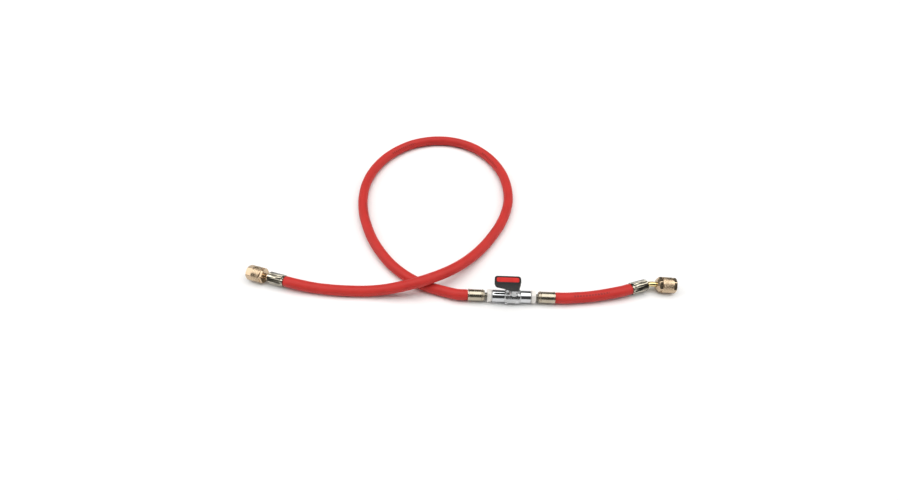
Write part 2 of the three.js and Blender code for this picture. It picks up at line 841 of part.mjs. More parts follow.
// The left end, from its sleeve's mouth outwards
const leftPlace = new THREE.Group();
leftPlace.position.set(leftEnd.x, leftEnd.y, nutAxisHeight);
leftPlace.rotation.z = leftEnd.turn;
hoseAssembly.add(leftPlace);
addPiece("left_ferrule", crimpedSleeve(), "nickel", leftPlace);
addPiece("left_stem", straightStem(), "brass", leftPlace);
const leftNutPlace = new THREE.Group();
leftNutPlace.position.x = crimpedSleeveLength + leftNeckLength;
leftPlace.add(leftNutPlace);
addPiece("left_gasket", gasket(), "seal", leftNutPlace);
addPiece("left_nut", swivelNut({
  length: leftNutLength,
  frontFlats: leftNutFrontFlats,
  backFlats: leftNutBackFlats,
  across: leftNutAcross,
  backCone: 0,
  cornerTurn: 0,
}), "warmNickel", leftNutPlace);

// The right end, from its sleeve's mouth outwards
const rightPlace = new THREE.Group();
rightPlace.position.set(rightEnd.x, rightEnd.y, nutAxisHeight);
rightPlace.rotation.z = rightEnd.turn;
hoseAssembly.add(rightPlace);
addPiece("right_ferrule", crimpedSleeve(), "nickel", rightPlace);
addPiece("bent_stem", bentStem(), "brass", rightPlace);
const rightNutPlace = new THREE.Group();
rightNutPlace.position.copy(nutPlaceOnBend());
rightNutPlace.rotation.z = -bendAngle;
rightPlace.add(rightNutPlace);
addPiece("right_gasket", gasket(), "seal", rightNutPlace);
addPiece("core_depressor", coreDepressor(), "brass", rightNutPlace);
addPiece("right_nut", swivelNut({
  length: rightNutLength,
  frontFlats: rightNutFrontFlats,
  backFlats: rightNutBackFlats + rightNutBackCone,
  across: rightNutAcross,
  backCone: rightNutBackCone,
  cornerTurn: THREE.MathUtils.degToRad(15),
}), "warmNickel", rightNutPlace);

// The two lengths of hose
addPiece("main_hose", longHose(), "rubber");
addPiece("short_hose", shortHose(), "rubber");

export default hoseAssembly;
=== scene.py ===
"""Looks of a charging hose with a small ball valve: metres, +Z up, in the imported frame."""
import math

import bmesh
import bpy
from mathutils import Matrix, Vector


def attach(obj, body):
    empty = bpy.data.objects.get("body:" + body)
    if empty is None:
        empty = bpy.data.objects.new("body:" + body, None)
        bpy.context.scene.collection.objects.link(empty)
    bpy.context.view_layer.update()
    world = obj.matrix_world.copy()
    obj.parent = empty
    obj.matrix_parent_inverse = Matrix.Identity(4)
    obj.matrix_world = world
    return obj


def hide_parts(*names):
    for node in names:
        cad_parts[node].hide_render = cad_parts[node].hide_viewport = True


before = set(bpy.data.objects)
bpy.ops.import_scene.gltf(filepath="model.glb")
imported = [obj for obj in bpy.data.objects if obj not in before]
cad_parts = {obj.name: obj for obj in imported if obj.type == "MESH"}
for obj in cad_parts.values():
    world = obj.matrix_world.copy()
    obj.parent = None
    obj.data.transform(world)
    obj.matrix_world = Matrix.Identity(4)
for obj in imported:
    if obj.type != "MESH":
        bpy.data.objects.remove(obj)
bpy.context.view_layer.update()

MM = 0.001
FIT = 0.3
NEARLY_STRAIGHT = math.radians(12)

# Camera: the photograph's view, from above and a little left of the valve
CAMERA_PLACE = (-57.0, -350.7, 488.0)
CAMERA_PITCH = 49.0
CAMERA_YAW = 2.45
CAMERA_LENS = 20.8

# Light: each softbox's azimuth from +X, height, half angle and soft edge in degrees, and its light
SOFTBOXES = [(90, 84, 30, 4, 2.25), (0, 47, 25, 6, 1.9), (180, 47, 25, 6, 1.9)]
ROOM_LIGHT = 0.07
WALL_LIGHT = 0.9
WALL_TOP = 14

# Hose, in millimetres
HOSE_RADIUS = 6.25
HOSE_END_ROUNDING = 0.35
VALVE_HEIGHT = 7.5
NUT_RADIUS = 9.15
INLET_MOUTH = -51.5
OUTLET_MOUTH = 46.7
STRAIGHT_END = 11.0
LONG_HOSE_POINTS = [
    (-78, 4.2, 0.2), (-97, 10, 0), (-114, 18, 0), (-131, 29.5, 0), (-146, 43.5, 0),
    (-159.5, 60.5, 0), (-172, 80.5, 0), (-182.5, 103.5, 0), (-191, 129, 0), (-195.5, 156.5, 0),
    (-195.3, 184.5, 0), (-188.7, 213, 0), (-176, 239, 0), (-158.8, 259.5, 0), (-139, 274, 0),
    (-117, 282.3, 0), (-94.5, 284.5, 0), (-72.5, 280.7, 0), (-51.5, 270.8, 0), (-33.3, 255.5, 0),
    (-18.5, 235.5, 0), (-7.5, 211.5, 0), (-1.8, 185.5, 0), (-0.8, 160, 0), (-4.7, 136.8, 0),
    (-11.8, 115, 0), (-21.4, 95.4, 0), (-32, 77.4, 0.3), (-43.6, 60.6, 2), (-55.5, 45.6, 5),
    (-68.5, 31.6, 8.8), (-82.5, 20, 12), (-98, 10.9, 13.2), (-114, 5, 12), (-131, 2.4, 7.9),
    (-148.5, 1.6, 3.2), (-168, 1, 0.4), (-190, 0.6, 0.1), (-211, 1.4, 0.1), (-230, 3.2, 0.4),
]
SHORT_HOSE_POINTS = [(70, 1.4, 0.9), (85, 3.2, 1), (101, 6.1, 1.5)]
LEFT_END = (-264, 9.2)
LEFT_TURN = math.radians(165.5)
RIGHT_END = (134.4, 15)
RIGHT_TURN = math.radians(19.5)

# Sleeves and tails
SLEEVE_BORE = 5.7
SLEEVE_RADIUS = 6.55
SLEEVE_RIM = 0.35
SLEEVE_END_WALL = 1.5
TAIL_ROOT_DEPTH = 1.8
SMOOTH_SLEEVE = 19.0
BEAD_HEIGHT = 0.4
GROOVE_DEPTH = 0.4
CRIMPED_SLEEVE = 20.3
CRIMP_FLATS = 8
CRIMP_APOTHEM = 6.35
CRIMP_TURN = math.radians(9)
RIDGE_HEIGHT = 0.24
RIDGE_HALF_ANGLE = 0.07
TAIL_START = 1.3
TAIL_RADIUS = 2.9
TOOTH_DEPTH = 0.5
PASSAGE_RADIUS = 1.9

# Hex nipples
NIPPLE_NECK = 2.8
NIPPLE_NECK_RADIUS = 3.3
NIPPLE_THREAD = 8.3
NIPPLE_TURNS = 7
NIPPLE_THREADED = 7.0
NIPPLE_CREST = 5.1
NIPPLE_ROOT = 4.7
HEX_ACROSS = 14.0
HEX_WIDTH = 5.0

# Nuts and stems
NUT_BORE = 5.25
NUT_BACK_WALL = 3.2
SHOULDER_ROOM = 5.6
NUT_TURNS = 9
NUT_THREAD_DEPTH = 0.35
NECK_RADIUS = 3.0
LEFT_NECK = 5.8
COLLAR_RADIUS = 4.3
COLLAR_WIDTH = 1.5
CONE_LENGTH = 2.3
STEM_RING_HEIGHT = 0.9
LEFT_NUT_LENGTH = 20.4
RIGHT_NUT_LENGTH = 21.4
BEND_ANGLE = math.radians(22.5)
BEND_RADIUS = 14.0
BEND_LEAD_IN = 1.8
BEND_LEAD_OUT = 4.4
KNURL_TEETH = 48
KNURL_DEPTH = 0.24

# Valve body
BODY_INLET_REACH = 24.4
BODY_OUTLET_REACH = 19.6
BODY_BORE = 5.4
BARREL_RADIUS = 7.2
CAST_RADIUS = 8.3
CAST_VOXEL = 0.0003
CAST_SMOOTHING = 4
CAST_TOP = 15.2
BOSS_RADIUS = 4.3
BOSS_TOP = 22.4
LUG_OFFSET = 8.4
LUG_HEIGHT = 5.4
LUG_RADIUS = 1.6
LUG_REACH = 9.0

# Lever
LEVER_BOTTOM = 23.3
LEVER_TOP = 38.0
LEVER_ARM = 23.0
LEVER_HEEL = 6.0
LEVER_HALF_WIDTH = 5.25
DRIVE_TOP = 31.5
LEVER_CORNER = 3.3
INSERT_MARGIN = 1.7

# Dashes on the hose, in metres along it and in turns round it
DASH_GROUP_START = 0.02
DASH_GROUP_EVERY = 0.155
DASH_GROUP_SHARE = 0.27
DASH_EVERY = 0.0034
DASH_SHARE = 0.62
DASH_PLACE = 0.87
DASH_HALF_WIDTH = 0.028
SHORT_HOSE_DASH_TURN = 0.07

# Columns round a turned piece, and along the hose
FINE_COLUMNS = 96
NUT_COLUMNS = 192
HOSE_COLUMNS = 40
HOSE_SPACING = 2.5


# Camera, light and floor

def add_camera():
    data = bpy.data.cameras.new("camera")
    data.sensor_width = 36.0
    data.lens = CAMERA_LENS
    data.clip_start = 0.01
    camera = bpy.data.objects.new("camera", data)
    camera.location = [v * MM for v in CAMERA_PLACE]
    camera.rotation_euler = (math.radians(90 - CAMERA_PITCH), 0, math.radians(CAMERA_YAW))
    bpy.context.scene.collection.objects.link(camera)
    bpy.context.scene.camera = camera


def add_studio():
    """A dark room with softboxes and a low pale wall, as a pattern of directions in the world."""
    world = bpy.data.worlds.new("studio")
    world.use_nodes = True
    nodes, links = world.node_tree.nodes, world.node_tree.links
    direction = nodes.new("ShaderNodeTexCoord").outputs["Generated"]

    def faded(value, start, end, light):
        made = nodes.new("ShaderNodeMapRange")
        made.interpolation_type = "SMOOTHSTEP"
        made.inputs["From Min"].default_value = start
        made.inputs["From Max"].default_value = end
        made.inputs["To Max"].default_value = light
        links.new(value, made.inputs["Value"])
        return made.outputs["Result"]

    split = nodes.new("ShaderNodeSeparateXYZ")
    links.new(direction, split.inputs[0])
    lights = [faded(split.outputs["Z"], math.sin(math.radians(WALL_TOP)), 0.0, WALL_LIGHT)]
    for azimuth, height, half, edge, light in SOFTBOXES:
        towards = nodes.new("ShaderNodeVectorMath")
        towards.operation = "DOT_PRODUCT"
        around, up = math.radians(azimuth), math.radians(height)
        towards.inputs[1].default_value = (
            math.cos(up) * math.cos(around), math.cos(up) * math.sin(around), math.sin(up))
        links.new(direction, towards.inputs[0])
        outer, inner = math.cos(math.radians(half + edge)), math.cos(math.radians(half - edge))
        lights.append(faded(towards.outputs["Value"], outer, inner, light))
    # The first sum adds the room's own light, and each later one the sum before it
    strength = None
    for light in lights:
        total = nodes.new("ShaderNodeMath")
        total.operation = "ADD"
        total.inputs[1].default_value = ROOM_LIGHT
        links.new(light, total.inputs[0])
        if strength is not None:
            links.new(strength, total.inputs[1])
        strength = total.outputs[0]
    links.new(strength, nodes["Background"].inputs["Strength"])
    nodes["Background"].inputs["Color"].default_value = (1, 0.995, 0.985, 1)
    bpy.context.scene.world = world
    bpy.context.scene.view_settings.view_transform = "Standard"


def add_floor():
    mesh = bpy.data.meshes.new("floor")
    reach = 6.0
    corners = [(-reach, -reach, 0), (reach, -reach, 0), (reach, reach, 0), (-reach, reach, 0)]
    mesh.from_pydata(corners, [], [(0, 1, 2, 3)])
    floor = bpy.data.objects.new("floor", mesh)
    bpy.context.scene.collection.objects.link(floor)
    material = bpy.data.materials.new("floor_paper")
    material.use_nodes = True
    shader = material.node_tree.nodes["Principled BSDF"]
    shader.inputs["Base Color"].default_value = (0.93, 0.93, 0.93, 1)
    shader.inputs["Roughness"].default_value = 0.7
    shader.inputs["Specular IOR Level"].default_value = 0.2
    mesh.materials.append(material)


# Mesh helpers

def finish_mesh(name, vertices, faces, materials, uvs=None, sharp_degrees=32):
    """Make the object from points in millimetres; uvs holds one pair for each face corner."""
    mesh = bpy.data.meshes.new(name)
    mesh.from_pydata([Vector(v) * MM for v in vertices], [], faces)
    if uvs is not None:
        layer = mesh.uv_layers.new(name="along_round")
        for loop, pair in zip(layer.data, uvs):
            loop.uv = pair
    for material in materials:
        mesh.materials.append(material)
    mesh.polygons.foreach_set("use_smooth", [True] * len(mesh.polygons))
    mesh.update()
    mesh.set_sharp_from_angle(angle=math.radians(sharp_degrees))
    piece = bpy.data.objects.new(name, mesh)
    bpy.context.scene.collection.objects.link(piece)
    return piece


def straight(place):
    """Stations along the X axis of a place."""
    return lambda s: place @ Matrix.Translation((s, 0, 0))


def shell(rows, columns, along):
    """A closed round shell. Each row is (station, radius), the radius a number or a function of angle.

    The outside rows come first and the list closes on itself, so a bored piece is a ring."""
    vertices, faces, uvs = [], [], []
    count = len(rows)
    for station, radius in rows:
        matrix = along(station)
        for j in range(columns):
            angle = 2 * math.pi * j / columns
            r = radius(angle) if callable(radius) else radius
            vertices.append(matrix @ Vector((0, -math.sin(angle) * r, math.cos(angle) * r)))
    for i in range(count):
        after = (i + 1) % count
        for j in range(columns):
            k = (j + 1) % columns
            faces.append((i * columns + j, i * columns + k, after * columns + k, after * columns + j))
            u, v = rows[i][0] * MM, rows[after][0] * MM
            low, high = j / columns, (j + 1) / columns
            uvs += [(u, low), (u, high), (v, high), (v, low)]
    return vertices, faces, uvs


def join_shells(shells):
    vertices, faces, uvs = [], [], []
    for some_vertices, some_faces, some_uvs in shells:
        start = len(vertices)
        vertices += some_vertices
        faces += [tuple(corner + start for corner in face) for face in some_faces]
        uvs += some_uvs
    return vertices, faces, uvs


def softened(outline, radius, steps=3):
    """Round the corners of a closed outline of (station, radius) pairs."""
    result = []
    count = len(outline)
    for i, here in enumerate(outline):
        before = Vector(outline[i - 1])
        after = Vector(outline[(i + 1) % count])
        corner = Vector(here)
        arm_in, arm_out = before - corner, after - corner
        touching = arm_in.length < 1e-6 or arm_out.length < 1e-6
        if touching or math.pi - arm_in.angle(arm_out) < NEARLY_STRAIGHT:
            result.append(tuple(here))
            continue
        reach = min(radius, arm_in.length * 0.42, arm_out.length * 0.42)
        start = corner + arm_in.normalized() * reach
        end = corner + arm_out.normalized() * reach
        for k in range(steps + 1):
            t = k / steps
            result.append(tuple(start * (1 - t) ** 2 + corner * 2 * t * (1 - t) + end * t ** 2))
    return result


def turned_piece(name, outline, material, place, columns=FINE_COLUMNS, soft=0.25):
    rows = softened(outline, soft)
    vertices, faces, uvs = shell(rows, columns, straight(place))
    return finish_mesh(name, vertices, faces, [material], uvs)


def hex_limit(across, turn):
    """Radius of a hexagon with its flats this far across, as a function of angle."""
    half_step = math.pi / 6

    def radius(angle):
        off = (angle - turn) % (2 * half_step) - half_step
        return across / 2 / math.cos(off)

    return radius


# Materials

class Finish:
    """A node material, with short calls for the nodes that the finishes share."""

    def __init__(self, name, colour, metallic, roughness):
        self.material = bpy.data.materials.new(name)
        self.material.use_nodes = True
        self.tree = self.material.node_tree
        self.shader = self.tree.nodes["Principled BSDF"]
        self.shader.inputs["Base Color"].default_value = (*colour, 1)
        self.shader.inputs["Metallic"].default_value = metallic
        self.shader.inputs["Roughness"].default_value = roughness

    def node(self, kind, **inputs):
        made = self.tree.nodes.new(kind)
        for key, value in inputs.items():
            self.put(made.inputs[key.replace("_", " ")], value)
        return made

    def put(self, socket, value):
        if isinstance(value, bpy.types.NodeSocket):
            self.tree.links.new(value, socket)
        else:
            socket.default_value = value

    def math(self, operation, first, second=0.0):
        made = self.tree.nodes.new("ShaderNodeMath")
        made.operation = operation
        self.put(made.inputs[0], first)
        self.put(made.inputs[1], second)
        return made.outputs[0]

    def object_point(self):
        return self.node("ShaderNodeTexCoord").outputs["Object"]

    def uv(self):
        made = self.tree.nodes.new("ShaderNodeUVMap")
        made.uv_map = "along_round"
        return made.outputs["UV"]

    def stretched(self, vector, scale):
        made = self.tree.nodes.new("ShaderNodeMapping")
        self.put(made.inputs["Vector"], vector)
        made.inputs["Scale"].default_value = scale
        return made.outputs["Vector"]

    def noise(self, vector, scale, detail=3.0, rough=0.55):
        made = self.node("ShaderNodeTexNoise", Scale=scale, Detail=detail, Roughness=rough)
        self.put(made.inputs["Vector"], vector)
        return made.outputs["Fac"]

    def ranged(self, value, low, high, from_low=0.3, from_high=0.7):
        made = self.tree.nodes.new("ShaderNodeMapRange")
        self.put(made.inputs["Value"], value)
        made.inputs["From Min"].default_value = from_low
        made.inputs["From Max"].default_value = from_high
        made.inputs["To Min"].default_value = low
        made.inputs["To Max"].default_value = high
        return made.outputs["Result"]

    def blend(self, factor, first, second):
        made = self.tree.nodes.new("ShaderNodeMix")
        made.data_type = "RGBA"
        self.put(made.inputs["Factor"], factor)
        for socket, value in ((made.inputs[6], first), (made.inputs[7], second)):
            self.put(socket, value if isinstance(value, bpy.types.NodeSocket) else (*value, 1))
        return made.outputs[2]

    def bump(self, height, strength, distance):
        made = self.node("ShaderNodeBump", Strength=strength, Distance=distance)
        self.put(made.inputs["Height"], height)
        self.put(self.shader.inputs["Normal"], made.outputs["Normal"])

    def set(self, socket, value):
        self.put(self.shader.inputs[socket], value)


def scaled(colour, factor):
    return tuple(min(1.0, channel * factor) for channel in colour)


def metal(name, colour, roughness, spread=0.08, marks=(900.0, 1.5), stain=0.12,
          depth=0.00002, metallic=1.0):
    """Turned or plated metal: marks left by the tool, light stains and uneven gloss.

    The marks are the noise's scales along the piece and round it."""
    finish = Finish(name, colour, metallic, roughness)
    point = finish.object_point()
    cloud = finish.noise(point, 140.0, 4.0)
    finish.set("Base Color", finish.blend(
        finish.ranged(cloud, 0.0, 1.0), scaled(colour, 1 - stain), scaled(colour, 1 + stain * 0.5)))
    rings = finish.noise(finish.stretched(finish.uv(), (*marks, 1)), 3.0, 2.0)
    gloss = finish.math("ADD", finish.ranged(rings, -spread, spread), roughness)
    finish.set("Roughness", finish.math("ADD", gloss, finish.ranged(cloud, -spread / 2, spread / 2)))
    finish.bump(rings, 0.35, depth)
    return finish


def hose_rubber():
    """Satin red cover with a faint line of plain dashes along one side."""
    base = (0.55, 0.034, 0.028)
    finish = Finish("hose_red", base, 0.0, 0.5)
    point = finish.object_point()
    cloud = finish.noise(point, 55.0, 4.0)
    fine = finish.noise(point, 1500.0, 3.0)
    tone = finish.blend(finish.ranged(cloud, 0.0, 1.0), scaled(base, 0.93), scaled(base, 1.06))
    split = finish.tree.nodes.new("ShaderNodeSeparateXYZ")
    finish.put(split.inputs[0], finish.uv())
    along, around = split.outputs["X"], split.outputs["Y"]
    from_start = finish.math("SUBTRACT", along, DASH_GROUP_START)
    group = finish.math("FRACT", finish.math("DIVIDE", from_start, DASH_GROUP_EVERY))
    in_group = finish.math("LESS_THAN", group, DASH_GROUP_SHARE)
    place = finish.math("FRACT", finish.math("DIVIDE", along, DASH_EVERY))
    dash = finish.math("LESS_THAN", place, DASH_SHARE)
    off_line = finish.math("ABSOLUTE", finish.math("SUBTRACT", around, DASH_PLACE))
    on_line = finish.math("LESS_THAN", off_line, DASH_HALF_WIDTH)
    worn = finish.ranged(finish.noise(point, 900.0, 2.0), 0.25, 0.75)
    in_dash = finish.math("MULTIPLY", in_group, dash)
    mark = finish.math("MULTIPLY", in_dash, finish.math("MULTIPLY", on_line, worn))
    finish.set("Base Color", finish.blend(mark, tone, (0.10, 0.012, 0.012)))
    finish.set("Roughness", finish.math("ADD", finish.ranged(cloud, -0.05, 0.06), 0.5))
    finish.bump(fine, 0.25, 0.00006)
    finish.shader.inputs["Specular IOR Level"].default_value = 0.22
    return finish


def plastic(name, colour, roughness, grain, depth, gloss=0.5):
    finish = Finish(name, colour, 0.0, roughness)
    finish.shader.inputs["Specular IOR Level"].default_value = gloss
    point = finish.object_point()
    cloud = finish.noise(point, 90.0, 3.0)
    fine = finish.noise(point, grain, 3.0)
    finish.set("Base Color", finish.blend(
        finish.ranged(cloud, 0.0, 1.0), scaled(colour, 0.9), scaled(colour, 1.12)))
    finish.set("Roughness", finish.math("ADD", finish.ranged(fine, -0.06, 0.06), roughness))
    finish.bump(fine, 0.3, depth)
    return finish


def make_finishes():
    cast = metal("cast_dull", (0.55, 0.555, 0.56), 0.26, spread=0.07, marks=(60.0, 1.5), stain=0.18)
    grain = cast.noise(cast.object_point(), 1300.0, 4.0)
    cast.bump(grain, 0.5, 0.00009)
    chrome = metal(
        "chrome_polished", (0.62, 0.63, 0.645), 0.07,
        spread=0.02, marks=(500.0, 1.5), stain=0.05, depth=0.000004)
    pale = metal(
        "pale_nickel", (0.47, 0.415, 0.325), 0.23,
        spread=0.05, marks=(700.0, 1.5), stain=0.10, depth=0.00001)
    white = metal(
        "white_nickel", (0.90, 0.865, 0.82), 0.5,
        spread=0.05, marks=(700.0, 1.5), stain=0.10, metallic=0.4)
    blotches = (14.0, 9.0)
    # Crimped sleeves: noise streaks mix a near-black painted dark reflection, about half the surface,
    # with bright nickel.
    dark = metal(
        "dark_nickel", (0.40, 0.37, 0.30), 0.11, spread=0.04, marks=blotches, stain=0.3, depth=0.00015)
    streaks = dark.noise(dark.stretched(dark.uv(), (*blotches, 1)), 3.0, 2.0)
    painted_dark_reflection, worn = (0.07, 0.064, 0.05), (0.72, 0.67, 0.54)
    dark.set("Base Color", dark.blend(dark.ranged(streaks, 0.0, 1.0, 0.47, 0.56), painted_dark_reflection, worn))
    made = {
        "hose": hose_rubber(),
        "chrome": chrome,
        "cast": cast,
        "pale": pale,
        "white": white,
        # The necks' dark base colour is painted shade in the gap between sleeve and hex.
        "neck": metal("neck_painted_shade", (0.20, 0.185, 0.155), 0.3, spread=0.06),
        "dark": dark,
        "nut": metal(
            "warm_nickel", (0.60, 0.455, 0.305), 0.24, spread=0.05, marks=(500.0, 1.5), stain=0.14),
        "brass": metal("bright_brass", (0.76, 0.60, 0.29), 0.18, spread=0.05, stain=0.10),
        "steel": metal("turned_steel", (0.50, 0.51, 0.52), 0.28, spread=0.06),
        "seal": plastic("seal_black", (0.014, 0.014, 0.015), 0.6, grain=1400.0, depth=0.00005),
        "seat": plastic("seat_white", (0.82, 0.80, 0.75), 0.5, grain=1200.0, depth=0.00003),
        "lever": plastic(
            "lever_black", (0.011, 0.012, 0.0115), 0.42, grain=1700.0, depth=0.00004, gloss=0.3),
        "insert": plastic(
            "insert_red", (0.58, 0.022, 0.018), 0.45, grain=1300.0, depth=0.00002, gloss=0.28),
    }
    return {name: finish.material for name, finish in made.items()}


# Hose

def route(points, per_span=24):
    """Centripetal curve through the points, as in the part's own source."""
    line = []
    last = len(points) - 1
    for i in range(last):
        p1, p2 = points[i], points[i + 1]
        p0 = points[i - 1] if i > 0 else p1 * 2 - p2
        p3 = points[i + 2] if i + 2 <= last else p2 * 2 - p1
        d0, d1, d2 = [math.sqrt((b - a).length) for a, b in ((p0, p1), (p1, p2), (p2, p3))]
        t1 = ((p1 - p0) / d0 - (p2 - p0) / (d0 + d1) + (p2 - p1) / d1) * d1
        t2 = ((p2 - p1) / d1 - (p3 - p1) / (d1 + d2) + (p3 - p2) / d2) * d1
        for k in range(per_span):
            t = k / per_span
            cubic = (p1 - p2) * 2 + t1 + t2
            square = (p2 - p1) * 3 - t1 * 2 - t2
            line.append(p1 + t1 * t + square * t ** 2 + cubic * t ** 3)
    line.append(points[-1])
    return line


def evenly(line, spacing):
    lengths = [0.0]
    for a, b in zip(line, line[1:]):
        lengths.append(lengths[-1] + (b - a).length)
    count = max(2, round(lengths[-1] / spacing))
    result, k = [], 0
    for i in range(count + 1):
        want = lengths[-1] * i / count
        while k < len(lengths) - 2 and lengths[k + 1] < want:
            k += 1
        t = (want - lengths[k]) / (lengths[k + 1] - lengths[k])
        result.append(line[k].lerp(line[k + 1], t))
    return result, lengths[-1]


def hose_piece(name, node, points, material, dash_turn=0.0):
    """A tube with softly rounded end edges. The angle is counted from the top, over the left side."""
    line, length = evenly(route(points), HOSE_SPACING)
    vertices, faces, uvs = [], [], []
    rings = []
    for i, point in enumerate(line):
        tangent = (line[min(i + 1, len(line) - 1)] - line[max(i - 1, 0)]).normalized()
        side = Vector((0, 0, 1)).cross(tangent).normalized()
        up = tangent.cross(side)
        radius = HOSE_RADIUS
        if i in (0, len(line) - 1):
            radius = HOSE_RADIUS - HOSE_END_ROUNDING
        ring = []
        for j in range(HOSE_COLUMNS):
            angle = 2 * math.pi * j / HOSE_COLUMNS
            ring.append(len(vertices))
            vertices.append(point + (up * math.cos(angle) + side * math.sin(angle)) * radius)
        rings.append(ring)
    step = length / (len(line) - 1)
    for i in range(len(rings) - 1):
        for j in range(HOSE_COLUMNS):
            k = (j + 1) % HOSE_COLUMNS
            faces.append((rings[i][j], rings[i + 1][j], rings[i + 1][k], rings[i][k]))
            low, high = j / HOSE_COLUMNS - dash_turn, (j + 1) / HOSE_COLUMNS - dash_turn
            u, v = i * step * MM, (i + 1) * step * MM
            uvs += [(u, low), (v, low), (v, high), (u, high)]
    for ring, u in ((rings[0], 0.0), (list(reversed(rings[-1])), length * MM)):
        faces.append(tuple(ring))
        uvs += [(u, 0.5)] * len(ring)
    piece = finish_mesh(name, vertices, faces, [material], uvs)
    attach(piece, "root")
    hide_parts(node)
    return piece, [p * MM for p in line], length * MM


def lying(points):
    return [Vector((x, y, HOSE_RADIUS + rise)) for x, y, rise in points]


def end_points(end, turn):
    direction = Vector((math.cos(turn), math.sin(turn), 0))
    last = Vector((*end, NUT_RADIUS)) - direction * FIT
    return [last - direction * STRAIGHT_END, last]


# Places of the four sleeves' mouths, with X towards their closed ends

def placed(x, y, z, turn):
    return Matrix.Translation((x, y, z)) @ Matrix.Rotation(turn, 4, "Z")


INLET = placed(INLET_MOUTH, 0, VALVE_HEIGHT, 0)
OUTLET = placed(OUTLET_MOUTH, 0, VALVE_HEIGHT, math.pi)
LEFT = placed(*LEFT_END, NUT_RADIUS, LEFT_TURN)
RIGHT = placed(*RIGHT_END, NUT_RADIUS, RIGHT_TURN)
LEFT_NUT = LEFT @ Matrix.Translation((CRIMPED_SLEEVE + LEFT_NECK, 0, 0))


def bent_line(station):
    """The bent stem's centre line: straight, an arc to the right in plan and straight again."""
    bend_start = CRIMPED_SLEEVE + BEND_LEAD_IN
    if station <= bend_start:
        return Matrix.Translation((station, 0, 0))
    angle = min((station - bend_start) / BEND_RADIUS, BEND_ANGLE)
    past = station - bend_start - angle * BEND_RADIUS
    on_arc = Vector((bend_start + BEND_RADIUS * math.sin(angle), -BEND_RADIUS * (1 - math.cos(angle)), 0))
    turn = Matrix.Rotation(-angle, 4, "Z")
    return Matrix.Translation(on_arc) @ turn @ Matrix.Translation((past, 0, 0))


RIGHT_NUT_STATION = CRIMPED_SLEEVE + BEND_LEAD_IN + BEND_RADIUS * BEND_ANGLE + BEND_LEAD_OUT
RIGHT_NUT = RIGHT @ bent_line(RIGHT_NUT_STATION)


# Sleeves

def smooth_sleeve(name, place, material):
    end = SMOOTH_SLEEVE
    rim = SLEEVE_RADIUS + SLEEVE_RIM
    bead = SLEEVE_RADIUS + BEAD_HEIGHT
    groove = SLEEVE_RADIUS - GROOVE_DEPTH
    hole = NIPPLE_NECK_RADIUS + FIT
    wall = end - SLEEVE_END_WALL
    outline = [
        (0, rim), (1.4, rim), (1.9, SLEEVE_RADIUS),
        (end - 3.7, SLEEVE_RADIUS), (end - 3.3, groove), (end - 2.8, bead), (end - 2.0, bead),
        (end - 1.6, groove), (end - 0.7, groove), (end, SLEEVE_RADIUS - 1.2),
        (end, hole), (wall, hole), (wall, SLEEVE_BORE), (0, SLEEVE_BORE),
    ]
    piece = turned_piece(name + "_finished", outline, material, place)
    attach(piece, "root")
    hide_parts(name)


def crimped_sleeve(name, place, material, turn):
    """Pressed flats with the thin ridges that the die's gaps leave between them."""
    end = CRIMPED_SLEEVE
    rim = SLEEVE_RADIUS + SLEEVE_RIM
    full = SLEEVE_RADIUS + SLEEVE_RIM / 2
    step = 2 * math.pi / CRIMP_FLATS

    def pressed(amount):
        def radius(angle):
            off = abs((angle - turn + step / 2) % step - step / 2)
            flat = CRIMP_APOTHEM / math.cos(off) - 0.25
            ridge = max(0.0, 1 - abs(off - step / 2) / RIDGE_HALF_ANGLE)
            shaped = min(full, flat) + RIDGE_HEIGHT * ridge
            return full + (min(shaped, rim) - full) * amount
        return radius

    rows = [(0, SLEEVE_BORE), (0, rim - 0.25), (0.2, rim), (1.3, rim), (1.6, rim - 0.12), (1.9, full)]
    for k in range(7):
        t = k / 6
        rows.append((2.1 + 0.9 * t, pressed(t * t * (3 - 2 * t))))
    rows += [(x, pressed(1.0)) for x in (6, 9, 12, 15)]
    rows += [(end - 1.3, pressed(1.0)), (end - 0.7, pressed(0.9)), (end - 0.3, SLEEVE_RADIUS - 0.35)]
    hole = NECK_RADIUS + FIT
    wall = end - SLEEVE_END_WALL
    rows += [(end, SLEEVE_RADIUS - 0.9), (end, hole), (wall, hole), (wall, SLEEVE_BORE)]
    vertices, faces, uvs = shell(rows, NUT_COLUMNS, straight(place))
    piece = finish_mesh(name + "_crimped", vertices, faces, [material], uvs, 24)
    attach(piece, "root")
    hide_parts(name)
    return piece


# Stems and nipples

def tail_rows(root):
    rows = [(TAIL_START, PASSAGE_RADIUS), (TAIL_START, TAIL_RADIUS - TOOTH_DEPTH)]
    pitch = (root - TAIL_START) / 3
    for i in range(2):
        rows.append((TAIL_START + (i + 0.8) * pitch, TAIL_RADIUS))
        rows.append((TAIL_START + (i + 1) * pitch, TAIL_RADIUS - TOOTH_DEPTH))
    rows += [(root, TAIL_RADIUS - TOOTH_DEPTH), (root, NECK_RADIUS)]
    return rows


def shoulder_rows(nut_back):
    start = nut_back + NUT_BACK_WALL + FIT
    reach = NUT_BORE - 0.4
    return [
        (start, NECK_RADIUS), (start, reach), (start + 1.8, reach),
        (start + 3, reach - 1.2), (start + 3, PASSAGE_RADIUS),
    ]


def left_stem(material):
    nut_back = CRIMPED_SLEEVE + LEFT_NECK
    collar = CRIMPED_SLEEVE + FIT
    outline = tail_rows(CRIMPED_SLEEVE - TAIL_ROOT_DEPTH) + [
        (collar, NECK_RADIUS), (collar, COLLAR_RADIUS), (collar + COLLAR_WIDTH, COLLAR_RADIUS),
        (collar + COLLAR_WIDTH + CONE_LENGTH, NECK_RADIUS),
    ] + shoulder_rows(nut_back)
    piece = turned_piece("left_stem_turned", outline, material, LEFT, soft=0.2)
    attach(piece, "root")
    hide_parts("left_stem")
    return piece


